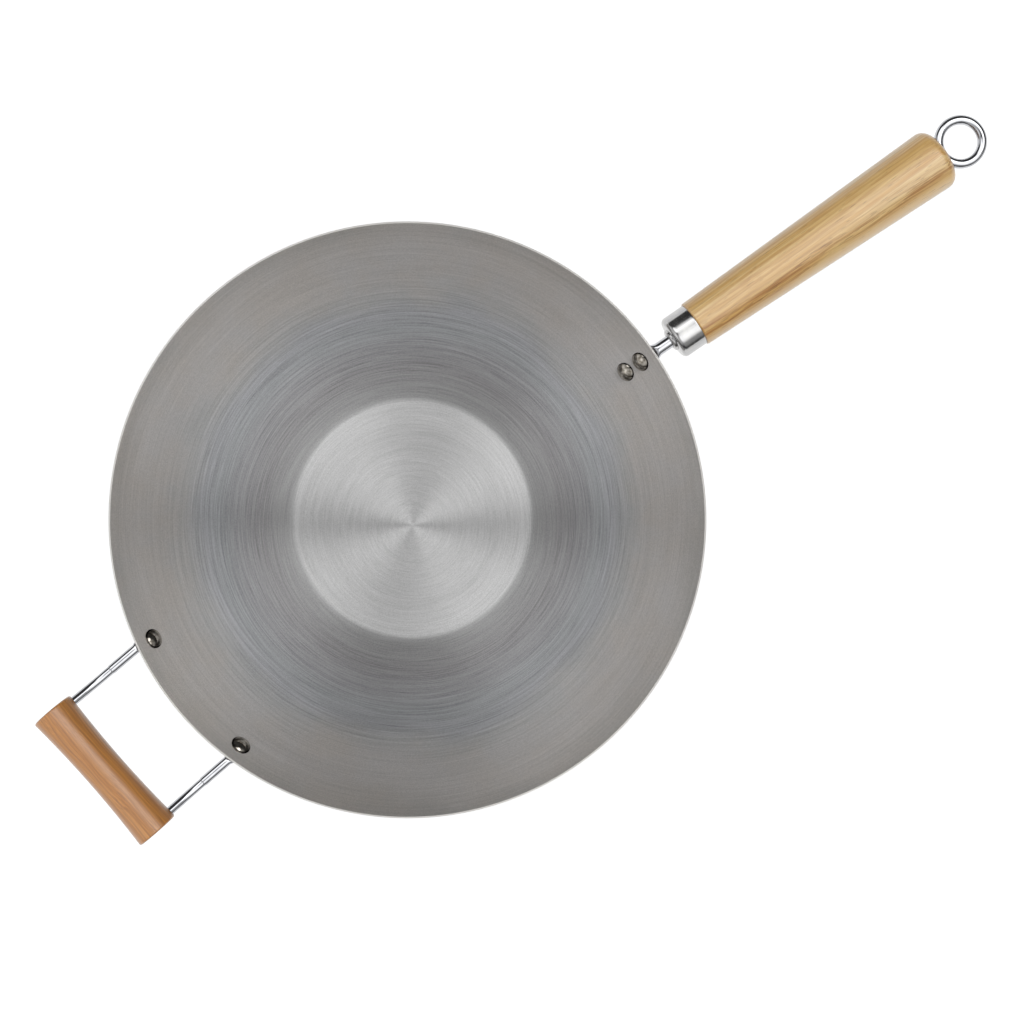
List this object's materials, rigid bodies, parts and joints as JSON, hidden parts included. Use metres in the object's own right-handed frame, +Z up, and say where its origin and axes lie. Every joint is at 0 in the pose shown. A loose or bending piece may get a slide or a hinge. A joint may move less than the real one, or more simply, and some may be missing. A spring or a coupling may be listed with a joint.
{
  "type": "flat-bottomed wok",
  "caption": "Open flat-bottomed steel wok with a long round wooden handle that ends in a hanging ring, and a short waisted wooden helper handle opposite.",
  "frame": {"origin": "centre of the flat base's underside, on the surface the wok stands on", "axes": "+Z up, +X along the long handle away from the bowl, +Y across it"},
  "size_m": [0.666, 0.356, 0.112],
  "materials": {
    "bowl_steel": "turned with fine circular brush lines, uncoated",
    "handle_chrome": "bright chrome plate",
    "rivet_steel": "tumbled bright, slightly warm",
    "pale_wood": "clear satin lacquer on pale straight-grained hardwood",
    "red_wood": "clear satin lacquer on reddish close-grained hardwood"
  },
  "bodies": {
    "root": {"wok_body": "bowl_steel", "handle_bracket": "handle_chrome", "handle_rivet_upper": "rivet_steel", "handle_rivet_lower": "rivet_steel", "ferrule": "handle_chrome", "handle_grip": "pale_wood", "ring_bolt": "handle_chrome", "helper_bracket_left": "handle_chrome", "helper_bracket_right": "handle_chrome", "helper_rod_left": "handle_chrome", "helper_rod_right": "handle_chrome", "helper_rivet_left": "rivet_steel", "helper_rivet_right": "rivet_steel", "helper_grip": "red_wood"}
  },
  "joints": []
}
